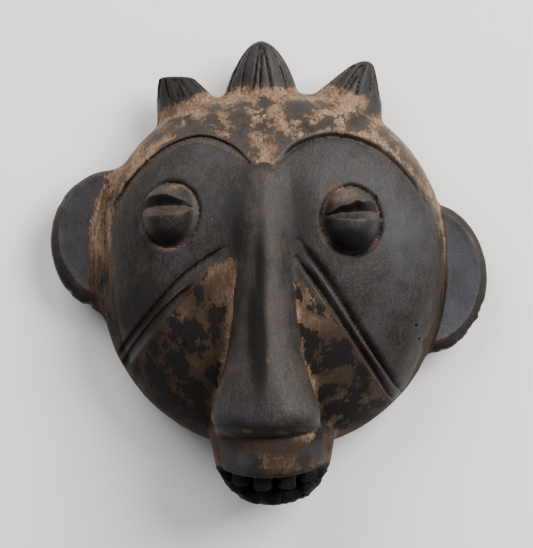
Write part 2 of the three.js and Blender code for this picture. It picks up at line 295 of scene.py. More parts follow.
# A row of rounded blocks along a guide, each standing out as the guide's outward attribute says.
def toothRowTree():
    tree, given = newTree("toothRow", {"Count": "Int", "Size": "Vector", "Unevenness": "Float",
                                       "Seed": "Int"})
    guide = addNode(tree, "GeometryNodeMeshToCurve", {}, {"Mesh": given["Geometry"]})
    even = addNode(tree, "GeometryNodeResampleCurve", {"mode": "COUNT"},
                   {"Curve": guide, "Count": given["Count"]})
    out, along = (addNode(tree, "GeometryNodeInputNamedAttribute", {"data_type": "FLOAT_VECTOR"},
                          {"Name": name}) for name in ("outward", "hanging"))
    stood = addNode(tree, "FunctionNodeAlignRotationToVector", {"axis": "Z"}, {"Vector": out})
    hung = addNode(tree, "FunctionNodeAlignRotationToVector", {"axis": "Y", "pivot_axis": "Z"},
                   {"Rotation": stood, "Vector": along})
    block = addNode(tree, "GeometryNodeMeshCube", {},
                    {"Size": given["Size"], "Vertices X": 3, "Vertices Y": 3, "Vertices Z": 3})
    rounded = addNode(tree, "GeometryNodeSubdivisionSurface", {}, {"Mesh": block, "Level": 2})
    least, most = (addNode(tree, "ShaderNodeMath", {"operation": way}, {0: 1.0, 1: given["Unevenness"]})
                   for way in ("SUBTRACT", "ADD"))
    varied = addNode(tree, "FunctionNodeRandomValue", {"data_type": "FLOAT_VECTOR"},
                     {0: least, 1: most, "Seed": given["Seed"]})
    row = addNode(tree, "GeometryNodeInstanceOnPoints", {},
                  {"Points": even, "Instance": rounded, "Rotation": hung, "Scale": varied})
    return endTree(tree, row, given["Material"])


# Strokes of a gouge over a surface: flat long lenses, scattered no nearer than a spacing, mostly lengthways.
def gougeTree():
    tree, given = newTree("gougeStrokes", {"Spacing": "Float", "Density": "Float", "Stroke": "Vector",
                                           "Swing": "Float", "Seed": "Int"})
    spread = addNode(tree, "GeometryNodeDistributePointsOnFaces", {"distribute_method": "POISSON"},
                     {"Mesh": given["Geometry"], "Distance Min": given["Spacing"],
                      "Density Max": given["Density"], "Seed": given["Seed"]})
    facing = addNode(tree, "FunctionNodeAlignRotationToVector", {"axis": "Z"},
                     {"Vector": spread.outputs["Normal"]})
    lengthways = addNode(tree, "FunctionNodeAlignRotationToVector", {"axis": "X", "pivot_axis": "Z"},
                         {"Rotation": facing, "Vector": (0.0, 1.0, 0.0)})
    back = addNode(tree, "ShaderNodeMath", {"operation": "MULTIPLY"}, {0: given["Swing"], 1: -1.0})
    swing = addNode(tree, "FunctionNodeRandomValue", {"data_type": "FLOAT"},
                    {2: back, 3: given["Swing"], "Seed": given["Seed"]})
    spin = addNode(tree, "FunctionNodeAxisAngleToRotation", {},
                   {"Axis": (0.0, 0.0, 1.0), "Angle": swing.outputs[1]})
    turned = addNode(tree, "FunctionNodeRotateRotation", {"rotation_space": "LOCAL"},
                     {"Rotation": lengthways, "Rotate By": spin})
    lens = addNode(tree, "GeometryNodeMeshUVSphere", {}, {"Segments": 10, "Rings": 6, "Radius": 1.0})
    strokes = addNode(tree, "GeometryNodeInstanceOnPoints", {},
                      {"Points": spread.outputs["Points"], "Instance": lens,
                       "Rotation": turned, "Scale": given["Stroke"]})
    return endTree(tree, strokes, given["Material"])


# Chips broken off edges: lumpy pebbles at marked places, as large as each place's size attribute says.
def chipTree():
    tree, given = newTree("edgeChips", {"Roughness": "Float", "Seed": "Int"})
    places = addNode(tree, "GeometryNodeMeshToPoints", {}, {"Mesh": given["Geometry"]})
    size = addNode(tree, "GeometryNodeInputNamedAttribute", {"data_type": "FLOAT_VECTOR"}, {"Name": "size"})
    pebble = addNode(tree, "GeometryNodeMeshIcoSphere", {}, {"Radius": 1.0, "Subdivisions": 3})
    spots = addNode(tree, "GeometryNodeInstanceOnPoints", {},
                    {"Points": places, "Instance": pebble, "Scale": size})
    real = addNode(tree, "GeometryNodeRealizeInstances", {}, {"Geometry": spots})
    lumpy = addNode(tree, "ShaderNodeTexNoise", {"noise_dimensions": "4D"},
                    {"W": given["Seed"], "Scale": 0.9})
    centred = addNode(tree, "ShaderNodeVectorMath", {"operation": "SUBTRACT"},
                      {0: lumpy.outputs["Color"], 1: (0.5, 0.5, 0.5)})
    pushed = addNode(tree, "ShaderNodeVectorMath", {"operation": "SCALE"},
                     {0: centred, "Scale": given["Roughness"]})
    rough = addNode(tree, "GeometryNodeSetPosition", {}, {"Geometry": real, "Offset": pushed})
    return endTree(tree, rough, given["Material"])


# Head: a dome on a squarish plan, flat at its back rim

head = {"x": 0.7, "y": 0.3, "halfWidth": 45.2, "halfLength": 46.6, "planPower": 2.2, "broaden": 0.035,
        "widestAt": 8, "apex": 35, "domePower": 2.4, "rimShare": 0.955, "wallShare": 0.99, "wallHeight": 3.5,
        "foot": -5}  # the skin goes on below the rim, and the block is cut flat there


def faceHeight(x, y):
    up = (y - head["y"]) / head["halfLength"]
    across = np.abs((x - head["x"]) / (head["halfWidth"] * (1 + head["broaden"] * up))) ** head["planPower"]
    out = np.minimum(0.999, (across + np.abs(up) ** head["planPower"]) ** (1 / head["planPower"]))
    return blend(head["widestAt"], head["apex"], roundedOff(out, head["domePower"]))


def faceNormal(x, y, step=0.5):
    slopeX = (faceHeight(x + step, y) - faceHeight(x - step, y)) / (2 * step)
    slopeY = (faceHeight(x, y + step) - faceHeight(x, y - step)) / (2 * step)
    normal = np.array([-slopeX, -slopeY, 1.0])
    return normal / np.linalg.norm(normal)


# A dome on the head's plan, inset from its outline, from the foot up to an apex.
def domed(inset, apex, around=220, rows=70):
    shares, rises = squarish(np.linspace(0, math.pi / 2, rows + 1)[1:-1], head["domePower"])
    profile = [(head["rimShare"], head["foot"]), (head["rimShare"], 0),
               (head["wallShare"], head["wallHeight"]), (1, head["widestAt"])]
    profile += [(s, blend(head["widestAt"], apex, r)) for s, r in zip(shares, rises)]
    across, along = squarish(circle(around), head["planPower"])
    halfWidth, halfLength = head["halfWidth"] - inset, head["halfLength"] - inset
    rings = [np.stack([head["x"] + halfWidth * (1 + head["broaden"] * s * along) * s * across,
                       head["y"] + halfLength * s * along, np.full(around, z)], 1) for s, z in profile]
    return loft([head["x"], head["y"], head["foot"]], rings, [head["x"], head["y"], apex])


# Nose: a ridge along Y. A station gives its half width, its place along Y and the height of its crest.

nose = {"rootX": -1.7, "tipX": -0.6, "rootPower": 1.65, "tipPower": 2.05,
        "stations": [[2.8, 28, 31.5], [4.4, 23, 35.4], [6, 12, 38.6], [6.9, 0, 40.4], [7.7, -11, 42],
                     [9.2, -21, 43.6], [12.1, -30, 45.2], [13.6, -35.4, 46], [13.3, -38, 45.7],
                     [12, -39.8, 44.3], [9.4, -41.2, 42.6]],
        "end": -41.9, "endHeight": 40, "wingRise": 9.5, "foot": 12,
        # how softly it joins the face, at the wings and at the root, and where along Y
        "wingSoft": 0.9, "wingsTo": -34, "rootSoft": 3.2, "rootFrom": 14}


def makeNose():
    course = through(nose["stations"], 8)
    angle = circle(96)
    rings = []
    for row, (half, y, crest) in enumerate(course):
        share = row / (len(course) - 1)
        middle = blend(nose["rootX"], nose["tipX"], share)
        widest = min(crest - 2, max(float(faceHeight(middle + half, y)) - 1, crest - nose["wingRise"]))
        across, up = squarish(angle, blend(nose["rootPower"], nose["tipPower"], share))
        z = widest + np.where(up > 0, (crest - widest) * up, (widest - nose["foot"]) * up)
        rings.append(np.stack([middle + half * across, np.full(len(angle), y), z], 1))
    return loft([nose["rootX"], course[0][1], course[0][2] - 3], rings,
                [nose["tipX"], nose["end"], nose["endHeight"]])


# Muzzle with the open mouth and its teeth

muzzle = {"x": 0.7, "y": -42, "z": 20, "halfWidth": 15.5, "reach": 18.1, "backReach": 5, "rise": 21.2,
          "drop": 17, "power": 2.35, "flareFrom": -45.5, "flare": 0.14, "soft": 1.8}
mouth = {"lipEdge": -51.7, "lipBow": 3.3, "lipTilt": 0.044, "floor": 28.6, "ahead": -70, "top": 50,
         "coreShare": 0.74, "halfWidth": 22, "soft": 0.4}
upperTeeth = {"from": -66, "to": 69, "count": 6, "below": 1.3, "share": 0.83, "size": (4.7, 4.3, 4.4),
              "unevenness": 0.07, "lean": -4, "seed": 3}
lowerTeeth = {"from": -78, "to": 78, "count": 9, "z": 29.2, "share": 0.89, "size": (5.4, 4.2, 4.4),
              "unevenness": 0.24, "seed": 8}
teethSoft = 0.3


# A point of the muzzle scaled about its middle, at an angle from straight up and a place on Y.
def muzzlePoint(tilt, y, share=1.0):
    ahead = muzzle["y"] - y
    out = np.minimum(1, np.abs(ahead) / np.where(ahead > 0, muzzle["reach"], muzzle["backReach"]))
    size = roundedOff(out, muzzle["power"]) * share
    flare = muzzle["flare"] * np.maximum(0, y - muzzle["flareFrom"]) * size
    up, side = squarish(tilt, muzzle["power"])
    return np.stack([muzzle["x"] + (muzzle["halfWidth"] * size + flare) * side,
                     muzzle["y"] - ahead * share + 0 * side,
                     muzzle["z"] + np.where(up > 0, muzzle["rise"], muzzle["drop"]) * size * up], -1)


def makeMuzzle(share):
    along, _ = squarish(np.linspace(0, math.pi, 50)[1:-1], muzzle["power"])
    places = muzzle["y"] - np.where(along > 0, muzzle["reach"], muzzle["backReach"]) * along
    return loft([muzzle["x"], muzzle["y"] - muzzle["reach"] * share, muzzle["z"]],
                [muzzlePoint(circle(120), y, share) for y in places],
                [muzzle["x"], muzzle["y"] + muzzle["backReach"] * share, muzzle["z"]])


# Where the upper lip ends on Y, bowed up to the corners of the mouth.
def lipAt(x):
    return mouth["lipEdge"] + mouth["lipBow"] * (x / muzzle["halfWidth"]) ** 2 + mouth["lipTilt"] * x


# The block in front of the lip and above the jaw.
def makeMouthBlock():
    rings = []
    for x in np.linspace(-mouth["halfWidth"], mouth["halfWidth"], 40):
        rings.append([[muzzle["x"] + x, y, z] for y, z in (
            (mouth["ahead"], mouth["floor"]), (lipAt(x), mouth["floor"]), (lipAt(x), mouth["top"]),
            (mouth["ahead"], mouth["top"]))])
    return loft(np.mean(rings[0], 0), rings, np.mean(rings[-1], 0))


def teethAlong(tree, teeth, points, outward, hanging):
    guide = meshOf("arc", points, edges=chain(len(points)),
                   vectors={"outward": outward, "hanging": np.tile(hanging, (len(points), 1))})
    return grow(tree, guide, teeth)


def makeUpperTeeth(tree):
    arc = np.radians(np.linspace(upperTeeth["from"], upperTeeth["to"], 29))
    y = np.full(len(arc), mouth["lipEdge"])
    for _ in range(3):  # the lip's edge and the muzzle's side are found from each other
        points = muzzlePoint(arc, y)
        y = lipAt(points[:, 0] - muzzle["x"]) - upperTeeth["below"]
    points = muzzlePoint(arc, y, upperTeeth["share"])
    points[:, 1] = y
    outward = points - [muzzle["x"], 0, muzzle["z"]]
    outward[:, 1] = upperTeeth["lean"]
    return teethAlong(tree, upperTeeth, points, outward, [0, 1.0, 0])


def makeLowerTeeth(tree):
    arc = np.radians(np.linspace(lowerTeeth["from"], lowerTeeth["to"], 29))
    size = lowerTeeth["share"] * roundedOff((lowerTeeth["z"] - muzzle["z"]) / muzzle["rise"], muzzle["power"])
    out, side = squarish(arc, muzzle["power"])
    points = np.stack([muzzle["x"] + muzzle["halfWidth"] * size * side,
                       muzzle["y"] - muzzle["reach"] * size * out, np.full(len(out), lowerTeeth["z"])], 1)
    outward = points - [muzzle["x"], muzzle["y"], lowerTeeth["z"]]
    return teethAlong(tree, lowerTeeth, points, outward, [0, 0, 1.0])


# Ears: a flat face, shifted inside the outline, with a bevel falling off round it

ears = [{"x": -41, "y": 7.8, "halfWidth": 16.1, "halfLength": 18.6, "lean": 5, "soft": 3.4, "worn": 2.5,
         "face": {"x": -40.4, "y": 9.6, "halfWidth": 14.6, "halfLength": 16.1}},
        {"x": 41.4, "y": -1.8, "halfWidth": 15.5, "halfLength": 19.4, "lean": -5, "soft": 1.2, "worn": 0.1,
         "face": {"x": 40.6, "y": -0.9, "halfWidth": 14.3, "halfLength": 17.3}}]
ear = {"back": 8.2, "front": 13.4, "bevel": 2.4, "backRound": 1.2, "hollow": 0.5}


def makeEar(place):
    slope = math.tan(math.radians(place["lean"]))
    face, back, front, bevel, dish = place["face"], ear["back"], ear["front"], ear["bevel"], ear["hollow"]
    rings = []
    # share of the outline, height, and how far the outline has gone over to that of the face
    for share, z, onFace in ((0.93, back, 0), (1, back + ear["backRound"], 0), (1, front - bevel, 0),
                             (0.995, front - 0.7 * bevel, 0.12), (1, front - 0.2, 0.93), (1, front, 1),
                             (0.9, front - 0.6 * dish, 1), (0.5, front - dish, 1)):
        size = {key: blend(place[key], face[key], onFace) for key in face}
        x = size["x"] + size["halfWidth"] * share * np.cos(circle(120))
        y = size["y"] + size["halfLength"] * share * np.sin(circle(120))
        rings.append(np.stack([x, y, z + slope * (x - place["x"])], 1))
    return loft([place["x"], place["y"], back], rings, [face["x"], face["y"], front - dish])


# Tufts of hair: combed leaves from the crown outwards

tufts = [{"baseX": -21.3, "baseHalf": 8.1, "tipX": -24.5, "tipHalf": 4.3, "tipY": 50.7, "swell": 1.1,
          "close": 1.0, "round": 0.12},
         {"baseX": -2, "baseHalf": 10, "tipX": -2.1, "tipHalf": 0.5, "tipY": 60.0, "swell": 1.35,
          "close": 0.6, "round": 0.05},
         {"baseX": 19.0, "baseHalf": 10.3, "tipX": 24.9, "tipHalf": 2.1, "tipY": 54.8, "swell": 0.94,
          "close": 0.9, "round": 0.16}]
tuft = {"rootY": 33, "baseY": 44, "baseZ": 9.5, "tipZ": 12, "baseThick": 7.8, "tipThick": 2.4, "power": 1.7,
        "lines": 9, "soft": 1.4}
# a line's V reaches its width to each side at its lift above the surface, and runs out at both ends
combLine = {"width": 1.056, "depth": 0.38, "lift": 0.228, "tilt": (0.0, 0.0, 0.0), "steps": 40,
            "runOut": 0.08, "soft": 0.25}


def tuftRing(place, share, angle):
    shrink = (1 - share ** place["swell"]) ** place["close"]
    end = max(0.0, (share - 1 + place["round"]) / place["round"])
    closing = math.sqrt(max(0.0, 1 - end ** 2.2))
    half = blend(place["tipHalf"], place["baseHalf"], shrink) * (0.25 + 0.75 * closing)
    thick = blend(tuft["tipThick"], tuft["baseThick"], shrink) * (0.2 + 0.8 * closing)
    across, up = squarish(angle, tuft["power"])
    return np.stack([blend(place["baseX"], place["tipX"], share) + half * across,
                     blend(tuft["baseY"], place["tipY"], share) + 0 * across,
                     blend(tuft["baseZ"], tuft["tipZ"], share) + thick * up], -1)


def makeTuft(place):
    rings = [tuftRing(place, 0, circle(96)) * [1, 0, 1] + [0, tuft["rootY"], 0]]
    rings += [tuftRing(place, 1 - (1 - share) ** 1.6, circle(96)) for share in np.linspace(0, 0.98, 34)]
    return loft(np.mean(rings[0], 0), rings, [place["tipX"], place["tipY"], tuft["tipZ"]])


# The combed lines run up from above the root to just short of the tip.
def combGuide(place):
    points, edges = [], []
    for angle in np.linspace(0.1, math.pi - 0.1, tuft["lines"]):
        for i, share in enumerate(np.linspace(0.1, 0.93, 9)):
            points.append(tuftRing(place, share, np.array(angle + 0.1 * math.sin(5 * angle + 2 * share))))
            if i:
                edges.append((len(points) - 2, len(points) - 1))
    return meshOf("comb", points, edges=edges)


# Eyes: a bulging lid over a ball, parted by a slit, in a shallow ring

eyes = [{"x": -25.9, "y": 14.6, "halfWidth": 6.9, "halfLength": 7.7, "ledge": 2.6, "ledgeTilt": 0.08,
         "fold": 1.5, "foldEnds": 0.8, "foldTilt": 0.02, "lid": 3.0, "lidEnds": 0.6, "lidTilt": -0.03,
         "seed": 5, "ring": [-25.3, 14.4, 7.7, 8.5]},
        {"x": 20.9, "y": 13.3, "halfWidth": 7.1, "halfLength": 8.0, "ledge": 2.0, "ledgeTilt": -0.03,
         "fold": 1.2, "foldEnds": 0.7, "foldTilt": 0.05, "lid": 2.6, "lidEnds": 1.0, "lidTilt": 0.14,
         "seed": 11, "ring": [20.9, 12.9, 7.9, 8.9]}]
eye = {"sink": 2, "height": 5.6, "power": 2.3, "slitDepth": 2.8, "slitSoft": 0.3, "jag": 0.35, "jags": 11,
       "soft": 0.5}
ringLine = {"width": 1.6, "depth": 0.45, "lift": 0.27, "tilt": (0.0, 0.0, 0.0), "steps": 90, "runOut": 0.001,
            "soft": 1.2}


# Turns points that are centred on the origin to lie on the face.
def onFace(points, x, y, lift):
    normal = Vector(faceNormal(x, y))
    turn = np.array(Vector((0, 0, 1)).rotation_difference(normal).to_matrix())
    place = np.array([x, y, float(faceHeight(x, y))]) + np.array(normal) * lift
    return np.asarray(points) @ turn.T + place


def makeEye(place):
    angle = circle(90)
    tall = eye["sink"] + eye["height"]
    rings = []
    for climb in np.linspace(-math.pi / 2, math.pi / 2, 40)[1:-1]:
        share, up = squarish(climb, eye["power"])
        x, y = place["halfWidth"] * share * np.cos(angle), place["halfLength"] * share * np.sin(angle)
        rings.append(np.stack([x, y, np.full(len(angle), tall * up)], 1))
    points, faces = loft([0, 0, -tall], rings, [0, 0, tall])
    return onFace(points, place["x"], place["y"], -eye["sink"]), faces


# The slit is a notch across the lid: a ledge that faces the crown, and a ragged lid edge hanging over a fold.
def makeSlit(place):
    chance = np.random.default_rng(place["seed"])
    tall = eye["sink"] + eye["height"]
    ragged = through(np.stack([chance.uniform(-1, 1, eye["jags"])] * 2, 1), 6)[:, 0] * eye["jag"]
    rings = []
    for row, across in enumerate(np.linspace(-0.95, 0.95, len(ragged))):
        x = place["halfWidth"] * across
        arch = 1 - across * across
        fold = blend(place["foldEnds"], place["fold"], arch ** 0.4) + place["foldTilt"] * x
        arris = fold - place["ledge"] * arch ** 0.35 + place["ledgeTilt"] * x
        edge = fold + place["lidEnds"] + (place["lid"] - place["lidEnds"]) * arch + place["lidTilt"] * x
        edge += ragged[row] * arch ** 0.5
        levels = []
        for y in (arris, fold, edge):
            out = min(0.995, math.hypot(across, y / place["halfLength"]))
            levels.append(tall * roundedOff(out, eye["power"]))
        bottom = np.array([fold, levels[1] - eye["slitDepth"] * (0.45 + 0.55 * arch)])
        lower, upper = np.array([arris, levels[0]]), np.array([edge, levels[2]])
        # both walls go on past the lid, so that the notch is open
        rings.append([[x, *corner] for corner in (bottom + (lower - bottom) * 2.2,
                                                  bottom + (upper - bottom) * 2.2, bottom)])
    points, faces = loft(np.mean(rings[0], 0), rings, np.mean(rings[-1], 0))
    return onFace(points, place["x"], place["y"], -eye["sink"]), faces


def ringGuide(place):
    x, y, halfWidth, halfLength = place["ring"]
    angle = circle(24)
    points = onFace(np.stack([halfWidth * np.cos(angle), halfLength * np.sin(angle), 0 * angle], 1), x, y, 0)
    return meshOf("ring", points, edges=chain(24) + [(23, 0)])


# Carved lines, as places in X and Y that a smooth curve goes through. A tilt leans the V's walls over.

browLine = {"width": 1.6, "depth": 1.2, "lift": 0.72, "tilt": (0.0, -0.5, 0.0), "steps": 70, "runOut": 0.12,
            "soft": 0.6}
brows = [[[-4.9, 27.2], [-11.2, 31.9], [-18.9, 33.9], [-28.3, 30.2], [-37.3, 21.6], [-42.0, 12.6]],
         [[1.8, 27.5], [8, 32.6], [17.4, 34.8], [28.1, 31.6], [36.3, 23.8], [40.6, 17.2]]]
cheekLine = {**browLine, "depth": 1.3, "lift": 0.78, "tilt": (0.0, -0.3, 0.0)}
cheeks = [[[-10.8, 6.4], [-22.7, -2.4], [-33.2, -14], [-39.2, -21.8]],
          [[-19.2, -3.3], [-28, -11.4], [-35.3, -20.2], [-38.2, -24.8]],
          [[7.2, 8.2], [15.4, -2.9], [25.7, -19.1], [34.2, -31]],
          [[6.6, 3.8], [14.1, -6.2], [24.4, -21.6], [32.4, -33.4]]]


def lineGuide(route):
    flat = through(route, 5)
    return meshOf("line", [[x, y, faceHeight(x, y)] for x, y in flat], edges=chain(len(flat)))


# Nicks and dents as the mask has them: place, and half size each way

chips = [[-50.6, 23.6, 12.0, 2.2, 0.9, 3.4], [-54.3, 18.6, 11.9, 1.0, 2.0, 3.4],
         [-57.5, 7.3, 11.8, 0.8, 1.6, 3.0], [-57.0, -0.6, 11.6, 0.8, 1.3, 3.0],
         [-52.8, -5.6, 11.0, 1.4, 1.0, 3.0], [-47.4, -9.0, 11.0, 1.6, 0.9, 2.6],
         [57.0, -9.4, 11.5, 1.8, 1.5, 3.6], [57.3, 6.4, 11.9, 0.7, 2.2, 2.4],
         [50.6, -19.0, 11.0, 2.0, 1.2, 2.6], [45.8, -21.0, 11.0, 1.8, 0.9, 2.4],
         [-50.2, -9.6, 10.8, 1.5, 1.0, 2.2], [25.8, 17.2, 39.6, 0.4, 1.2, 1.8],
         [4.4, -25.6, 43.4, 0.5, 1.6, 0.7], [0.2, -24.0, 44.6, 0.5, 0.9, 0.5],
         [3.8, -33.4, 46.3, 1.5, 0.5, 0.7], [-9.2, 1.9, 33.6, 0.4, 0.9, 0.6],
         [-21.8, -18.6, 30.7, 0.4, 0.5, 0.5], [37.4, -13.8, 24.0, 0.35, 0.5, 0.7],
         [36.6, -14.8, 23.8, 0.35, 0.5, 0.6], [38.3, -17.4, 22.0, 0.5, 0.4, 0.5],
         [46.6, 5.2, 13.5, 1.1, 1.6, 0.4], [49.4, -2.6, 13.3, 1.6, 0.8, 0.5],
         [7.1, -47.6, 41.0, 0.6, 0.4, 0.5]]
chipping = {"roughness": 0.9, "seed": 4, "soft": 0.2}


# The hollow back

hollow = {"wall": 6.5, "frontWall": 7.5, "soft": 0.5, "spacing": 2.6, "density": 0.2,
          "stroke": (3.6, 1.9, 0.75), "swing": 0.45, "strokeSoft": 0.4, "seed": 12}


# Joining and carving

lowCorner, highCorner = np.array([-61, -64, -4]), np.array([61, 65, 51])  # of the block, with room to spare
low = np.floor(lowCorner / voxel).astype(int)
size = np.ceil(highCorner / voxel).astype(int) - low
block = (low, np.full(tuple(size), reach, np.float32))

headSkin = domed(0, head["apex"])
headField, muzzleField, noseField = (fieldOf(skin) for skin in (headSkin, makeMuzzle(1), makeNose()))
join(block, headField, 0.01)  # into an empty block, so nothing is softened
join(block, muzzleField, muzzle["soft"])
alongNose = (noseField[0][1] + np.arange(noseField[1].shape[1])) * voxel
noseSoft = blend(nose["wingSoft"], nose["rootSoft"], ease(alongNose, nose["wingsTo"], nose["rootFrom"]))
join(block, noseField, noseSoft[None, :, None])

earFields, tuftFields, eyeFields, slitFields = (
    [fieldOf(make(place)) for place in places]
    for make, places in ((makeEar, ears), (makeTuft, tufts), (makeEye, eyes), (makeSlit, eyes)))
for place, field in zip(ears, earFields):
    join(block, field, place["soft"])
for field in tuftFields:
    join(block, field, tuft["soft"])
print("forms joined")


# The surface that lines are laid on.
def surfaceObject(skin):
    made = addObject("surface", meshOf("surface", *skin))
    made.data.polygons.foreach_set("use_smooth", np.ones(len(made.data.polygons), bool))
    return made


lineTree = carvedLineTree()
headForm, *tuftForms = (surfaceObject(skin) for skin in (headSkin, *(makeTuft(place) for place in tufts)))
lineFields, ringFields, combFields = (
    [fieldOf(grow(lineTree, guide, line, surface=form)) for guide, line, form in cuts]
    for cuts in ([(lineGuide(route), line, headForm)
                  for line, routes in ((browLine, brows), (cheekLine, cheeks)) for route in routes],
                 [(ringGuide(place), ringLine, headForm) for place in eyes],
                 [(combGuide(place), combLine, form) for place, form in zip(tufts, tuftForms)]))
for field in ringFields:
    carve(block, field, ringLine["soft"])
for field in lineFields:
    carve(block, field, browLine["soft"])
for ball, slit in zip(eyeFields, slitFields):
    join(block, ball, eye["soft"])
    carve(block, slit, eye["slitSoft"])
for field in combFields:
    carve(block, field, combLine["soft"])

mouthField = fieldOf(makeMouthBlock())
under, core = overlap(mouthField, fieldOf(makeMuzzle(mouth["coreShare"])))
under[...] = np.maximum(under, -core)
carve(block, mouthField, mouth["soft"])
teethTree = toothRowTree()
for make in (makeUpperTeeth, makeLowerTeeth):
    join(block, fieldOf(make(teethTree)), teethSoft)
chipGuide = meshOf("chips", [chip[:3] for chip in chips], vectors={"size": [chip[3:] for chip in chips]})
carve(block, fieldOf(grow(chipTree(), chipGuide, chipping)), chipping["soft"])
print("lines, teeth, combing and chips cut")

hollowSkin = domed(hollow["wall"], head["apex"] - hollow["frontWall"])
hollowField = fieldOf(hollowSkin)
join(hollowField, fieldOf(grow(gougeTree(), meshOf("hollow", *hollowSkin), hollow)), hollow["strokeSoft"])
carve(block, hollowField, hollow["soft"])
heights = (low[2] + np.arange(size[2])) * voxel
np.maximum(block[1], -heights[None, None, :].astype(np.float32), out=block[1])
print("hollow cut")

# The block as one mesh

grid = openvdb.FloatGrid(background=reach)
grid.copyFromArray(block[1], ijk=tuple(int(i) for i in low), tolerance=0)
grid.transform = openvdb.createLinearTransform(voxel)
grid.gridClass = openvdb.GridClass.LEVEL_SET
points, quads = grid.convertToQuads(isovalue=0.0)
quads = quads[:, ::-1]  # so that the faces point outwards
rough = addObject("rough", meshOf("rough", points, quads))
print("meshed", len(points), "points")

finish = {"triangles": 196000, "waves": 0.18, "waveSize": 9, "ripples": 0.08, "rippleSize": 2.6, "jaw": 0.42,
          "jawSize": 1.1, "jawIn": 0.3, "seed": 21}

rough.modifiers.new("thin", "DECIMATE").ratio = min(1.0, finish["triangles"] / (2 * len(quads)))
points, faces = skinOf(plainMesh(rough))
points = points.astype(float)
for made in (rough, headForm, *tuftForms):
    bpy.data.objects.remove(made)


# Only the largest connected shell stays, so no crumb is left floating.
def largestShell(points, faces):
    label = np.arange(len(points))
    while True:
        lowest = np.minimum.reduce(label[faces], axis=1)
        fresh = label.copy()
        for i in range(3):
            np.minimum.at(fresh, faces[:, i], lowest)
        fresh = fresh[fresh]
        if np.array_equal(fresh, label):
            break
        label = fresh
    names, counts = np.unique(label[faces[:, 0]], return_counts=True)
    keep = label[faces[:, 0]] == names[np.argmax(counts)]
    used = np.unique(faces[keep])
    place = np.full(len(points), -1)
    place[used] = np.arange(len(used))
    return points[used], place[faces[keep]]


def cornerNormals(points, faces):
    a, b, c = (points[faces[:, i]] for i in range(3))
    flat = np.cross(b - a, c - a)
    normals = np.zeros_like(points)
    for i in range(3):
        for axis in range(3):
            normals[:, axis] += np.bincount(faces[:, i], flat[:, axis], len(points))
    return normals / np.maximum(np.linalg.norm(normals, axis=1, keepdims=True), 1e-9)


# How far each point stands out from the points round it, in shares of their distance, a few steps wide.
def bulge(points, faces, normals, passes):
    edges = np.concatenate([faces[:, [0, 1]], faces[:, [1, 2]], faces[:, [2, 0]]])
    edges = np.unique(np.sort(edges, axis=1), axis=0)
    a, b = edges.T
    gap = points[b] - points[a]
    across = np.maximum(np.einsum("ij,ij->i", gap, gap), 1e-6)
    curve = np.einsum("ij,ij->i", gap, normals[b] - normals[a]) / across
    count = np.bincount(a, minlength=len(points)) + np.bincount(b, minlength=len(points))
    value = (np.bincount(a, curve, len(points)) + np.bincount(b, curve, len(points))) / np.maximum(count, 1)
    for _ in range(passes):
        spread = np.bincount(a, value[b], len(points)) + np.bincount(b, value[a], len(points))
        value = 0.5 * value + 0.5 * spread / np.maximum(count, 1)
    return value


points, faces = largestShell(points, faces)
normals = cornerNormals(points, faces)
inHollow = ease(-distanceTo(hollowField, points), -1.2, -0.2)
sway = finish["waves"] * lumps(points, finish["waveSize"], finish["seed"])
sway += finish["ripples"] * lumps(points, finish["rippleSize"], finish["seed"] + 1)
# the jaw and the teeth were left rough from the knife
jaw = ease(lipAt(points[:, 0] - muzzle["x"]) - points[:, 1], 0.3, 1.2)
sway += jaw * (finish["jaw"] * lumps(points, finish["jawSize"], finish["seed"] + 2) - finish["jawIn"])
points += normals * (sway * ease(points[:, 2], 0.3, 3))[:, None]
normals = cornerNormals(points, faces)
print("thinned to", len(faces), "triangles")

# Wear: where the black patina has gone from the brown wood, in millimetres, more than 0 where it is gone

# Outlines in X and Y of the ground that stayed black round the eyes.
blackPanels = [[[-4, 27.8], [-6.4, 31.4], [-11.2, 34.5], [-18.6, 36.2], [-24, 34.2], [-28.6, 31.4],
                [-37.2, 22.4], [-40.4, 14], [-40.9, 4], [-40.1, -6.8], [-38.1, -18], [-35.8, -24.4],
                [-28.3, -14.9], [-18.8, -3.9], [-14.5, 1.4], [-9, 3], [-4, 3], [-1.7, 15], [-2, 25.6]],
               [[1.4, 27.6], [4.2, 31.4], [8.6, 34.4], [16.6, 36.2], [22, 34.9], [28.6, 32.2], [37, 24.4],
                [41.9, 18], [44.9, 9], [45.2, 0.4], [44, -10], [40, -20.3], [36.6, -28.4], [32.2, -34.8],
                [26.8, -28], [19.9, -16.8], [14.5, -9.4], [7.6, -2.6], [3, -1.5], [1, 10], [-0.6, 24]]]

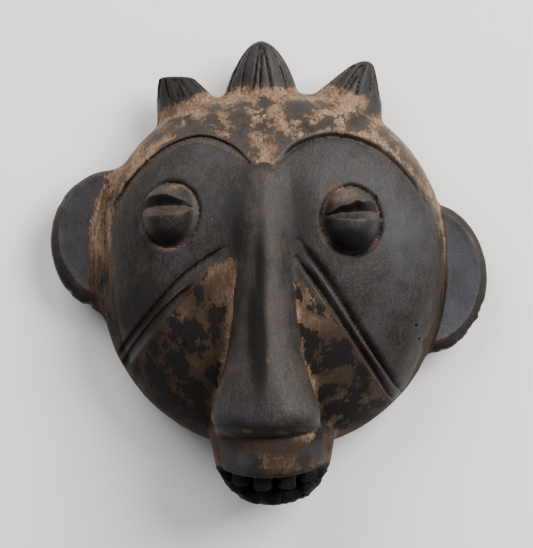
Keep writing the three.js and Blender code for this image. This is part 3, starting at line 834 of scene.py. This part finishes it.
# Patches of black left on the worn ground: middle, half size across and along, and turn in degrees, if any.
blackPatches = {
    "forehead": [[-25, 37.7, 2, 1, 15], [-20, 38, 2, 1.5], [-14.5, 38.5, 2.6, 1.8], [-13.3, 42, 3, 0.9],
                 [-7.6, 39.4, 3.1, 1.9], [-6.5, 36.5, 1.8, 1.8], [-7.6, 43, 2, 1], [-1.4, 43.3, 2, 1.8],
                 [-1.9, 37, 1.5, 1.5], [0.1, 36.5, 0.9, 2.3], [2.7, 33.8, 1.4, 2.6, 35], [7.8, 41.9, 3.8, 2],
                 [7, 38.9, 2.8, 1.8], [11, 37.3, 5, 1.8], [15.5, 38.4, 2, 1.8], [22.5, 38.6, 3.3, 2.3],
                 [26, 41.5, 2, 1.3], [29.5, 35.7, 1.3, 1.5, 40], [32.5, 32, 1, 2.3, 40],
                 [35.4, 28.4, 0.9, 2.3, 40], [14.3, 42.6, 2, 0.8], [-17.7, 36.4, 9, 1, 3],
                 [-28.7, 34.6, 2.3, 0.9, 28], [-7.4, 34.2, 3, 1.5, -42], [4.6, 33.4, 2.6, 1.2, 42],
                 [-5.7, 31.3, 3, 1.4, -50], [3.4, 31.2, 3, 1.3, 50]],
    "rim": [[-42.4, 13, 0.3, 3.6, 4], [-42.4, -5, 0.4, 4.5, -5], [-40.6, -14, 0.5, 3.8, 22],
            [-39.7, 21, 0.6, 2.6, -25], [35, 30.5, 0.8, 2, 40], [37.7, 25.5, 0.8, 2.3, 30]],
    "leftCheek": [[-17.3, -6.5, 1.3, 2.3], [-14.3, -11, 1.8, 1.5], [-14, -15.6, 1.4, 3.6],
                  [-20.4, -15.1, 2.6, 2.8], [-19.5, -19, 3, 1.6], [-24.5, -14, 1.2, 4],
                  [-28.6, -18.2, 1.4, 3.4], [-25.9, -19.5, 1.2, 1.4], [-24.5, -22.3, 1.3, 1.8],
                  [-22, -24.5, 2, 3.1], [-20.2, -29.4, 1.5, 2.8], [-18.5, -32.3, 1.7, 5.4],
                  [-14.6, -26.5, 1.6, 2.6], [-30.6, -24.4, 1, 2.3], [-33.5, -25.5, 1.2, 2, -20],
                  [-28, -26.5, 2.6, 2], [-26.5, -30.6, 1.5, 2.6], [-24, -33.2, 2, 1.8],
                  [-21.7, -35.8, 1.3, 1.8, -30], [-17.1, -37.8, 1.3, 1.3], [-27.4, -33.6, 3.1, 0.8, -42]],
    "rightCheek": [[9.2, -3.2, 1.3, 1], [6.6, -6.2, 1.3, 2], [12.4, -9.2, 1.5, 1.8], [7.7, -16.5, 0.8, 2.8],
                   [10.7, -17.3, 1.5, 2.8], [13.7, -19.1, 1, 1.3], [17.3, -21.7, 4, 2.3],
                   [18.8, -18.8, 2.6, 1.3], [22.8, -25.5, 1.8, 2.8, -25], [9.4, -21.9, 1.3, 2],
                   [11, -24.9, 1.5, 0.9], [14.1, -30.9, 1.8, 1.5], [17.4, -29.4, 2, 0.8],
                   [15.9, -34.8, 1.5, 1.3], [20.8, -35.5, 2.3, 2.8], [21.8, -31.5, 1.5, 1.5],
                   [24.6, -29, 1.5, 1.5], [27.1, -34.3, 2, 1.3], [24.4, -37.8, 2.3, 1.8, -20],
                   [18.1, -39.5, 2, 1, 20], [14.2, -37.5, 1, 1]],
    "lip": [[-9.9, -46.4, 2.7, 5], [-4.8, -47.6, 2.7, 3.4, -8], [12.2, -44.4, 1.9, 4],
            [8.9, -46.4, 1.9, 3, -10], [-1, -51.4, 12, 1.5], [10, -49.6, 3, 1.4, 25], [2, -44.6, 2.4, 0.9]]}

# Bare spots in the black, given in the same way.
barePatches = [[6.7, 37.8, 1, 1.2], [11, 38, 0.8, 1], [-22, 38.5, 0.6, 1.8], [15.2, 40.6, 3.6, 0.8, -18],
               [18, 38.2, 1.3, 2, 32], [40.2, -18.5, 1.5, 1.9], [41.7, -15.9, 0.8, 2.3, -14],
               [-5.6, -39.8, 1.5, 0.6], [3.5, -40.1, 1.2, 0.5], [8.4, -39.7, 1.2, 0.4, -10],
               [-0.6, -21.8, 0.45, 1.6], [-13.6, -31, 0.35, 3.4, -28], [17.6, 20.6, 1, 0.6],
               [-23.4, 21.6, 1.2, 0.3], [10.9, -27.5, 0.4, 6, 21]]

# Painted shade on the left flank of the nose and the lower sides of the eye balls, where the black is also
# made dull; and a fainter painted shade beside the nose root, on the low left panel and on the left tuft.
shadePatches = [[-2.9, -17, 2.5, 14.5, 3], [-2.2, 0, 1.5, 11], [-26.5, 8.5, 5, 2.4], [20.5, 7, 5.5, 4]]
dimPatches = [[-33, -10, 8, 7], [-9.5, 12, 3.5, 13], [8, 11, 3.5, 13], [-23, 48, 7, 6]]

# Places where the wax has bloomed to a pale blue grey; the colour is also a painted sheen there.
bloomAndSheenPatches = [[35, 8, 7, 13, 5], [-26, -1.5, 4, 2.5, -40], [-10.5, -34, 2.5, 3.5], [9.5, -35, 2.5, 3.5],
                [-7, -47.5, 3.4, 3.4], [11, -46, 2, 3.4]]

# Places where dust has stayed on the lids.
dustPatches = [[18.5, 19.5, 4, 2], [-25, 21.2, 3, 0.6]]

# Where the bare wood is darkened less than round it, and where it is darkened more.
lessDarkenedPatches = [[9, -9, 4, 8, 10]]
darkenedPatches = [[-1.5, 31, 4, 5]]

# The line on the tufts below which they are worn, as places in X and Y.
tuftWornTo = [[-30, 41.8], [-22.1, 44.0], [-16.3, 47.3], [-10.8, 47.4], [-2.0, 48.2], [5.6, 47.8], [14, 49.5],
              [22.3, 46.0], [28.8, 41.3]]

farOff = -9.0  # a depth in a patch that is past all of them


# Distance to an outline in X and Y, more than 0 inside it.
def insideOutline(places, outline):
    nearest = np.full(len(places), 1e9)
    inside = np.zeros(len(places), bool)
    for a, b in zip(outline, np.roll(outline, -1, 0)):
        gap = b - a
        share = np.clip(((places - a) @ gap) / (gap @ gap), 0, 1)
        nearest = np.minimum(nearest, np.linalg.norm(places - a - share[:, None] * gap, axis=1))
        crosses = (a[1] > places[:, 1]) != (b[1] > places[:, 1])
        side = a[0] + (places[:, 1] - a[1]) * gap[0] / (gap[1] if gap[1] else 1e-9)
        inside ^= crosses & (places[:, 0] < side)
    return np.where(inside, nearest, -nearest)


# Distance into the nearest patch. It falls off slowly outside a black one, so that its edge is torn far out.
def insidePatches(places, patches, fall=0.5):
    found = np.full(len(places), farOff)
    for x, y, across, along, *turn in patches:
        turned = math.radians(turn[0]) if turn else 0
        c, s = math.cos(turned), math.sin(turned)
        moved = places - [x, y]
        u, v = (moved[:, 0] * c + moved[:, 1] * s) / across, (moved[:, 1] * c - moved[:, 0] * s) / along
        depth = (1 - np.hypot(u, v)) * min(across, along)
        found = np.maximum(found, np.where(depth > 0, depth, fall * depth))
    return found


plan = points[:, :2]
x, y, z = points.T
# places moved about in lumps of two sizes, for ragged edges
bent = plan + np.stack([0.9 * lumps(points, 3.6, seed) + 0.5 * lumps(points, 1.5, seed + 1)
                        for seed in (41, 43)], 1)
bentLess = blend(plan, bent, 0.3)

# how far each point is off each form or cut
offHead, offNose, offMuzzle = (distanceTo(field, points) for field in (headField, noseField, muzzleField))
offEars, offTufts, offLines, offRings, offSlits, offCombs = (
    np.minimum.reduce([distanceTo(field, points) for field in fields])
    for fields in (earFields, tuftFields, lineFields, ringFields, slitFields, combFields))
offSlits = np.abs(offSlits)
aheadOfLip = np.where(offMuzzle < 1.5, lipAt(x - muzzle["x"]) - y, farOff)

inPanel = np.maximum.reduce([insideOutline(plan, np.array(panel, float)) for panel in blackPanels])
kept = 0.16 * ease(-y, 6, 20) * ease(y, -42, -39)  # the low cheeks kept more
black = inPanel
for patches in blackPatches.values():
    black = np.maximum(black, insidePatches(bent, patches) + kept)
# nose, ears, tufts and jaw are black too, each to a depth of its own, and the ears are worn from the head on
wornBy = np.where(x < 0, ears[0]["worn"], ears[1]["worn"])
tuftBlack = bent[:, 1] - np.interp(bent[:, 0], *np.transpose(tuftWornTo))
for here, depth in ((offNose < 0.5, 2.4 - 1.9 * ease(-offHead, -1.2, 0)),
                    (offEars < 0.5, np.minimum(offHead - wornBy, 3)),
                    (offTufts < 0.7, np.minimum(tuftBlack, offHead - 0.3)), (aheadOfLip > -0.5, 3)):
    black = np.maximum(black, np.where(here, depth, farOff))
# the sides that fall away to the rim keep more of their black, in long patches
sides = ease(-z, -9, -4) * (offEars > 0.6) * (offTufts > 0.6)
patchy = 1.6 * lumps(points * [1, 1, 0.6], 7, 31) + 0.9 * lumps(points, 3, 32) + 0.5
black = blend(black, patchy, sides)
wear = np.clip(np.maximum(-black, 1.6 * insidePatches(plan, barePatches, 1.5)), -3, 3)

# How much dust with painted light, painted shade, darkening, and wax bloom with painted sheen lies in each
# place, as shares of their full colour.
dustAndLightOn = {"cheekLines": 0.1, "browLines": 0.5, "rings": 0.4, "ringWalls": 0.55, "ringsLow": 0.4,
          "ledges": 0.42, "lids": 0.8, "nose": 0.24, "earFaces": 0.55}
shadeIn = {"lines": 0.7, "combs": 0.2, "underNose": 0.4, "dimPatches": 0.5, "earBevels": 0.6}
woodDarkeningOn = {"lowCheeks": 0.88, "brow": 0.3, "lessByNose": 0.65, "lessOnLip": 0.35, "lessOnCheek": 0.3}
bloomAndSheenOn = {"patches": 0.5, "lip": 0.35, "leftEar": 0.5, "rightEar": 0.75}

# dust, and with it a painted light, lies on the lower walls of the cuts round the brows and eyes, which face
# the crown, and there is little in the cheek lines
facesCrown = ease(normals[:, 1], -0.1, 0.35)
lineDustAndLight = blend(dustAndLightOn["cheekLines"], dustAndLightOn["browLines"], ease(y, 9, 13))
dust = ease(-offLines, -0.25, 0.05) * facesCrown * lineDustAndLight
# the rings get more at their bottoms, which is painted light in the shade that the balls cast there
ringDustAndLight = dustAndLightOn["ringWalls"] * facesCrown + dustAndLightOn["ringsLow"] * ease(-y, -10.5, -7)
ringDustAndLight = (dustAndLightOn["rings"] + ringDustAndLight) * ease(-offRings, -0.8, 0.1) * (0.75 + 0.5 * lumps(points, 2.5, 54))
dust = np.maximum(dust, ringDustAndLight) * ease(z, 6, 9)
# the ledges of the slits face the crown: dust with painted light on them
for place in eyes:
    aboveFold = y - place["y"] - place["fold"] - 1.3
    onLedge = ease(aboveFold + place["ledge"], -0.6, 0.2) * ease(-aboveFold, -0.2, 0.3)
    onLedge *= ease(-offSlits, -0.5, -0.1) * (np.sign(x) == np.sign(place["x"]))
    dust = np.maximum(dust, dustAndLightOn["ledges"] * onLedge)
dust = np.maximum(dust, dustAndLightOn["lids"] * ease(insidePatches(bent, dustPatches), -1.2, 1.2))

# painted shade: on the walls of the cuts that face away from the crown, in the combed lines, on the slit
# walls, under the nose and in the shade patches
underNose = ease(-normals[:, 1], 0.25, 0.6) * ease(-offNose, -0.6, -0.2) * ease(z, 36, 39)
paintedShadeSpots = np.maximum.reduce([ease(insidePatches(bentLess, shadePatches), -0.9, 1.3),
                          shadeIn["underNose"] * underNose,
                          shadeIn["dimPatches"] * ease(insidePatches(bent, dimPatches), -2.5, 3)])
deep = np.maximum.reduce([paintedShadeSpots, shadeIn["lines"] * ease(-offLines, -0.3, 0.1) * (1 - facesCrown),
                          shadeIn["combs"] * ease(-offCombs, -0.3, 0.1),
                          ease(-offSlits, -0.4, 0.0) * (1 - facesCrown)])
onNose = ease(-offNose, -0.5, -0.1) * ease(y, -33, -25) * (1 - paintedShadeSpots)
dust = np.maximum(dust, onNose * (dustAndLightOn["nose"] + 0.2 * lumps(points, 3, 59)))

# the bare wood is darker towards the bottom, below the eyes, less so beside the nose and on the lip
onLip = ease(-y, 40, 42) * ease(-x, -8, -4)
grime = ease(-y, -13, 7) * (woodDarkeningOn["lowCheeks"] + 0.3 * lumps(points, 6, 51))
grime *= 1 - woodDarkeningOn["lessByNose"] * ease(-offNose, -2.6, -0.6) * (1 - onLip)
grime *= 1 - woodDarkeningOn["lessOnLip"] * ease(-y, 44, 47)
grime *= 1 - woodDarkeningOn["lessOnCheek"] * ease(insidePatches(plan, lessDarkenedPatches), -2, 1)
grime = np.maximum(grime, woodDarkeningOn["brow"] * ease(insidePatches(plan, darkenedPatches), -2, 1))

# a brown line runs round the face of each ear, and painted shade darkens the bevel outside it
onEars = ease(-offEars, -0.6, -0.2) * ease(offHead, 0.3, 1.2)
deep = np.maximum(deep, shadeIn["earBevels"] * onEars * ease(-normals[:, 2], -0.95, -0.88))
inEarFaces = insidePatches(bentLess, [place["face"].values() for place in ears], 1)
earDust = ease(0.9 - np.abs(inEarFaces + 0.3), 0, 0.7) * (dustAndLightOn["earFaces"] + 0.5 * lumps(points, 4, 58))
dust = np.maximum(dust, onEars * earDust)
# below the eyes the black between the bare places is dull and darker, and the painted shade spots are dull
# too; the bloom patches, more on the lip, take a pale blue grey that is also a painted sheen, and the ear
# faces that look straight out take a painted sheen
dull = ease(-y, -4, 4) * ease(-inPanel, -0.8, 0.4) * ease(offNose, 0.2, 1) * (1 - onEars)
dull = np.maximum(dull * (1 - 0.6 * ease(-y, 41, 44)), paintedShadeSpots)
bloom = (bloomAndSheenOn["patches"] + bloomAndSheenOn["lip"] * onLip) * ease(insidePatches(bent, bloomAndSheenPatches), -2, 4.5)
bloom *= 1 - onEars
earPaintedSheen = np.where(x > 0, bloomAndSheenOn["rightEar"], bloomAndSheenOn["leftEar"])
bloom = np.maximum(bloom, onEars * ease(normals[:, 2], 0.93, 0.98) * earPaintedSheen)
bloom *= 0.8 + 0.3 * lumps(points, 3, 53)

# what the material reads at each point
# deep is painted shade in the cuts, under the nose and in the shade patches; soot is near black painted shade
# in the mouth ahead of the lip
marks = {"wear": wear, "dust": dust, "grime": grime, "deep": deep, "dull": dull, "bloom": bloom,
         "soot": ease(aheadOfLip, -0.2, 0.8), "bareWood": inHollow,
         "edge": bulge(points, faces, normals, 3) * (1 - jaw) * np.where(offTufts < 0, 0.35, 1)}

mask = addObject("carvedMask", meshOf("carvedMask", points * mm, faces))
for name, value in marks.items():
    mask.data.attributes.new(name, "FLOAT", "POINT").data.foreach_set("value", value.astype(np.float32))
mask.data.polygons.foreach_set("use_smooth", np.ones(len(faces), bool))
mask.data.materials.append(wood)
mask.data.update()
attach(mask, "root")
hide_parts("mask")
print("mask made")


def colour(hexValue):
    channels = [int(hexValue[i:i + 2], 16) / 255 for i in (1, 3, 5)]
    return tuple(c / 12.92 if c <= 0.04045 else ((c + 0.055) / 1.055) ** 2.4 for c in channels) + (1.0,)


# Hardwood carved by knife, blackened and rubbed with wax: a thin satin black skin that keeps a grey sheen,
# with a painted sheen in places, torn off in patches with sharp ragged edges over matt light brown wood, with
# dust and painted light in the cuts and painted shade where they are shaded.
patina = {"ior": 1.45, "gleam": 0.27, "satin": (0.41, 0.58), "matt": 0.85,
          # name, how far the pattern is drawn out along the grain, size in mm, detail, roughness
          "noises": {"tears": (0.5, 2.6, 6.0, 0.65), "flakes": (0.6, 1.3, 4.0, 0.6),
                     "shreds": (0.7, 0.7, 3.0, 0.6), "mottle": (0.8, 8.0, 4.0, 0.6),
                     "specks": (0.6, 0.38, 2.0, 0.7), "grain": (0.08, 0.45, 3.0, 0.65),
                     "fibre": (0.22, 0.5, 4.0, 0.7), "smear": (0.5, 3.2, 5.0, 0.7),
                     "rub": (0.2, 1.4, 5.0, 0.7), "clouds": (0.6, 3.5, 5.0, 0.6)},
          # how far in mm each pattern tears the edge of the black, and half the width of that edge
          "torn": {"tears": 4.2, "flakes": 2.4, "shreds": 1.6}, "tornEdge": 0.05,
          # pattern or attribute, where it starts and is full, how much, colour
          "black": "#191613",
          "blackLayers": [("mottle", 0.42, 0.64, 1.0, "#262527"), ("smear", 0.48, 0.68, 0.8, "#29221e"),
                          ("fibre", 0.5, 0.74, 0.6, "#3b3531"), ("rub", 0.5, 0.72, 0.5, "#3a3430"),
                          ("specks", 0.52, 0.73, 0.65, "#423b36"), ("shreds", 0.54, 0.72, 0.75, "#0d0b0a"),
                          ("wear", -1.5, -0.1, 0.65, "#392d23"),
                          # near black where the black is dull and in painted shade, and a pale blue grey of
                          # bloom and painted sheen
                          ("dull", 0.0, 1.0, 0.95, "#0e0b09"), ("bloom", 0.0, 1.0, 1.0, "#3c3c42"),
                          ("edge", 0.35, 1.3, 0.5, "#54412f")],
          "brown": "#6e5644",
          "brownLayers": [("grain", 0.3, 0.7, 0.8, "#8a735d"), ("clouds", 0.42, 0.66, 0.8, "#4a3728"),
                          ("fibre", 0.49, 0.68, 0.8, "#35261b"), ("shreds", 0.54, 0.7, 0.7, "#a08a71"),
                          ("wear", 0.5, 0.0, 0.5, "#3d2e23"), ("grime", 0.0, 1.0, 0.95, "#291d14")],
          # the cover: dust with painted light, painted shade (deep), and near black painted shade in the
          # mouth
          "coverLayers": [("dusty", 0.0, 1.0, 0.9, "#67564a"), ("deep", 0.0, 1.0, 0.88, "#0b0907"),
                          ("soot", 0.0, 1.0, 0.94, "#060504")],
          "bare": "#6b5140", "bareLayers": [("rub", 0.35, 0.65, 1.0, "#3c2a20")],
          # the fine relief: its height in metres, and how far fibres, specks and the worn wood stand up in it
          "relief": 0.0004, "strength": 0.6, "fibres": 0.25, "bareFibres": 0.9, "specks": 0.35, "worn": -0.4}


def makeWood():
    wood.use_nodes = True
    tree = wood.node_tree
    tree.nodes.clear()
    place = addNode(tree, "ShaderNodeTexCoord").outputs["Object"]
    found = {}
    for name, (drawn, size, detail, rough) in patina["noises"].items():
        # the grain runs from crown to chin
        grained = addNode(tree, "ShaderNodeMapping", {}, {"Vector": place, "Scale": (1.0, drawn, 1.0)})
        found[name] = addNode(tree, "ShaderNodeTexNoise", {}, {
            "Vector": grained, "Scale": 1 / (size * mm), "Detail": detail, "Roughness": rough})
    for name in marks:
        found[name] = addNode(tree, "ShaderNodeAttribute", {"attribute_name": name}).outputs["Fac"]
    # patchy dust with painted light, and a ragged line between black and bare wood
    patchy = addNode(tree, "ShaderNodeMapRange", {},
                     {"Value": found["shreds"], "From Min": 0.3, "From Max": 0.7, "To Min": 0.35})
    found["dusty"] = addNode(tree, "ShaderNodeMath", {"operation": "MULTIPLY"}, {0: found["dust"], 1: patchy})
    torn = found["wear"]
    for name, most in patina["torn"].items():
        about = addNode(tree, "ShaderNodeMath", {"operation": "SUBTRACT"}, {0: found[name], 1: 0.5})
        torn = addNode(tree, "ShaderNodeMath", {"operation": "MULTIPLY_ADD"}, {0: about, 1: most, 2: torn})
    gone = addNode(tree, "ShaderNodeMapRange", {"interpolation_type": "SMOOTHSTEP"},
                   {"Value": torn, "From Min": -patina["tornEdge"], "From Max": patina["tornEdge"]})

    def layered(shade, layers):
        for name, start, full, most, tint in layers:
            share = addNode(tree, "ShaderNodeMapRange", {"interpolation_type": "SMOOTHSTEP"},
                            {"Value": found[name], "From Min": start, "From Max": full, "To Max": most})
            shade = addNode(tree, "ShaderNodeMix", {"data_type": "RGBA"},
                            {0: share, 6: shade, 7: colour(tint)}).outputs[2]
        return shade

    black, brown, bare = (layered(colour(patina[name]), patina[name + "Layers"])
                          for name in ("black", "brown", "bare"))
    skin = addNode(tree, "ShaderNodeMix", {"data_type": "RGBA"}, {0: gone, 6: black, 7: brown})
    skin = layered(skin.outputs[2], patina["coverLayers"])
    skin = addNode(tree, "ShaderNodeMix", {"data_type": "RGBA"}, {0: found["bareWood"], 6: skin, 7: bare})
    matt = gone
    for name in ("dusty", "bareWood", "dull", "soot"):
        matt = addNode(tree, "ShaderNodeMath", {"operation": "MAXIMUM"}, {0: matt, 1: found[name]})
    satin = addNode(tree, "ShaderNodeMapRange", {}, {
        "Value": found["mottle"], "From Min": 0.3, "From Max": 0.7, "To Min": patina["satin"][0],
        "To Max": patina["satin"][1]})
    roughness = addNode(tree, "ShaderNodeMix", {"data_type": "FLOAT"}, {0: matt, 2: satin, 3: patina["matt"]})
    # fibres stand out where the wood is bare, and the black skin is a step higher than the wood
    coarse = addNode(tree, "ShaderNodeMath", {"operation": "MULTIPLY_ADD"},
                     {0: matt, 1: patina["bareFibres"], 2: patina["fibres"]})
    height = addNode(tree, "ShaderNodeMath", {"operation": "MULTIPLY"}, {0: found["fibre"], 1: coarse})
    for source, most in ((found["specks"], patina["specks"]), (gone, patina["worn"])):
        height = addNode(tree, "ShaderNodeMath", {"operation": "MULTIPLY_ADD"},
                         {0: source, 1: most, 2: height})
    relief = addNode(tree, "ShaderNodeBump", {},
                     {"Strength": patina["strength"], "Distance": patina["relief"], "Height": height})
    surface = addNode(tree, "ShaderNodeBsdfPrincipled", {},
                      {"Base Color": skin.outputs[2], "Roughness": roughness, "IOR": patina["ior"],
                       "Specular IOR Level": patina["gleam"], "Normal": relief})
    addNode(tree, "ShaderNodeOutputMaterial", {}, {"Surface": surface})


makeWood()
print("wood finished")

# Floor, lights and camera

studio = {"height": 0.7, "aim": (-0.785, -0.67), "pixel": 0.2648, "width": 533, "sensor": 36,
          # name, place, size and power of each soft box
          "boxes": [("keyBox", (0.54, 0.4, 0.62), 0.55, 16.8), ("leftBox", (-0.36, 0.6, 0.62), 0.6, 8.0)],
          "boxesAim": (0, 0, 0.02), "boxColour": "#fdfcfb", "air": 0.24, "airColour": "#f4f5fa"}
# uncoated card: even, matt, with a faint tooth
card = {"half": 2.0, "colour": "#f2f0ed", "roughness": 0.9, "toothScale": 900.0, "toothHeight": 0.0001,
        "tooth": 0.15}

half = card["half"]
corners = [[-half, -half, 0], [half, -half, 0], [half, half, 0], [-half, half, 0]]
floor = addObject("floor", meshOf("floor", corners, [[0, 1, 2, 3]]))
paper = bpy.data.materials.new("palePaper")
paper.use_nodes = True
sheet = paper.node_tree
sheet.nodes.clear()
place = addNode(sheet, "ShaderNodeTexCoord").outputs["Object"]
tooth = addNode(sheet, "ShaderNodeTexNoise", {}, {"Vector": place, "Scale": card["toothScale"]})
grainy = addNode(sheet, "ShaderNodeBump", {},
                 {"Strength": card["tooth"], "Distance": card["toothHeight"], "Height": tooth})
surface = addNode(sheet, "ShaderNodeBsdfPrincipled", {},
                  {"Base Color": colour(card["colour"]), "Roughness": card["roughness"], "Normal": grainy})
addNode(sheet, "ShaderNodeOutputMaterial", {}, {"Surface": surface})
floor.data.materials.append(paper)

for name, place, size, power in studio["boxes"]:
    lamp = bpy.data.lights.new(name, "AREA")
    lamp.size, lamp.energy, lamp.color = size, power, colour(studio["boxColour"])[:3]
    softBox = addObject(name, lamp)
    softBox.location = place
    softBox.rotation_euler = (Vector(studio["boxesAim"]) - Vector(place)).to_track_quat("-Z", "Y").to_euler()
air = bpy.data.worlds.new("air")
air.use_nodes = True
sky = air.node_tree.nodes["Background"].inputs
sky["Color"].default_value = colour(studio["airColour"])
sky["Strength"].default_value = studio["air"]
bpy.context.scene.world = air

lens = bpy.data.cameras.new("camera")
lens.sensor_fit = "HORIZONTAL"
lens.sensor_width = studio["sensor"]
lens.lens = lens.sensor_width * studio["height"] / (studio["width"] * studio["pixel"] * mm)
camera = addObject("camera", lens)
camera.location = (studio["aim"][0] * mm, studio["aim"][1] * mm, studio["height"])
bpy.context.scene.camera = camera

print("scene ready")
